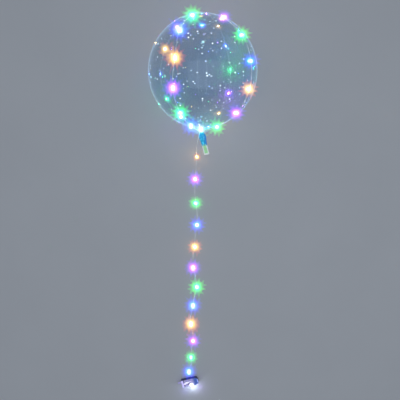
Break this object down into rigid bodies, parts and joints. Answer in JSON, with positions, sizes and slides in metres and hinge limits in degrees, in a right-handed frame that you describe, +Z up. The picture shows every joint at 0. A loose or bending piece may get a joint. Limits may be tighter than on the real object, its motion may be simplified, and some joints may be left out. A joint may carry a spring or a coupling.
{
  "type": "clear bubble balloon with fairy lights",
  "caption": "Clear round bubble balloon wound with a wire of coloured fairy lights, its tether running from the tied neck along the floor to a battery case.",
  "frame": {"origin": "centre of the flat spot that the balloon rests on, on the floor", "axes": "+Z up from the floor, +Y from the neck towards the crown, so the tether and the battery case lie towards -Y"},
  "size_m": [0.39, 1.6628, 0.3865],
  "materials": {
    "film": "thin clear stretched polyurethane film, glossy",
    "sleeve": "milky flat plastic sleeve, satin",
    "wire": "two fine enamelled wires, silver",
    "light": "drop of clear resin over a small lamp chip: warm yellow, violet, green or blue when lit",
    "case": "translucent lilac-white moulded plastic",
    "switch": "dark moulded knob",
    "lamp": "clear domed lens, lit white"
  },
  "bodies": {
    "balloon": {"balloon_film": "film", "filling_sleeve": "sleeve", "neck_wrap": "wire", "balloon_wire": "wire", "balloon_light_01": "light", "balloon_light_02": "light", "balloon_light_03": "light", "balloon_light_04": "light", "balloon_light_05": "light", "balloon_light_06": "light", "balloon_light_07": "light", "balloon_light_08": "light", "balloon_light_09": "light", "balloon_light_10": "light", "balloon_light_11": "light", "balloon_light_12": "light", "balloon_light_13": "light", "balloon_light_14": "light", "balloon_light_15": "light", "balloon_light_16": "light", "balloon_light_17": "light", "balloon_light_18": "light", "balloon_light_19": "light", "balloon_light_20": "light", "balloon_light_21": "light", "balloon_light_22": "light", "balloon_light_23": "light", "balloon_light_24": "light", "balloon_light_25": "light", "balloon_light_26": "light", "balloon_light_27": "light", "balloon_light_28": "light", "tether_wire": "wire", "tether_light_01": "light", "tether_light_02": "light", "tether_light_03": "light", "tether_light_04": "light", "tether_light_05": "light", "tether_light_06": "light", "tether_light_07": "light", "tether_light_08": "light", "tether_light_09": "light", "tether_light_10": "light", "tether_light_11": "light", "tether_light_12": "light", "wire_gland": "case", "battery_case": "case", "battery_lid": "case", "lamp_lens": "lamp"},
    "switch": {"slide_switch": "switch"}
  },
  "joints": [
    {"name": "switch_slide", "type": "slide", "parent": "balloon", "child": "switch", "axis": [0.9703, 0.2419, 0], "range_m": [0, 0.004]}
  ]
}
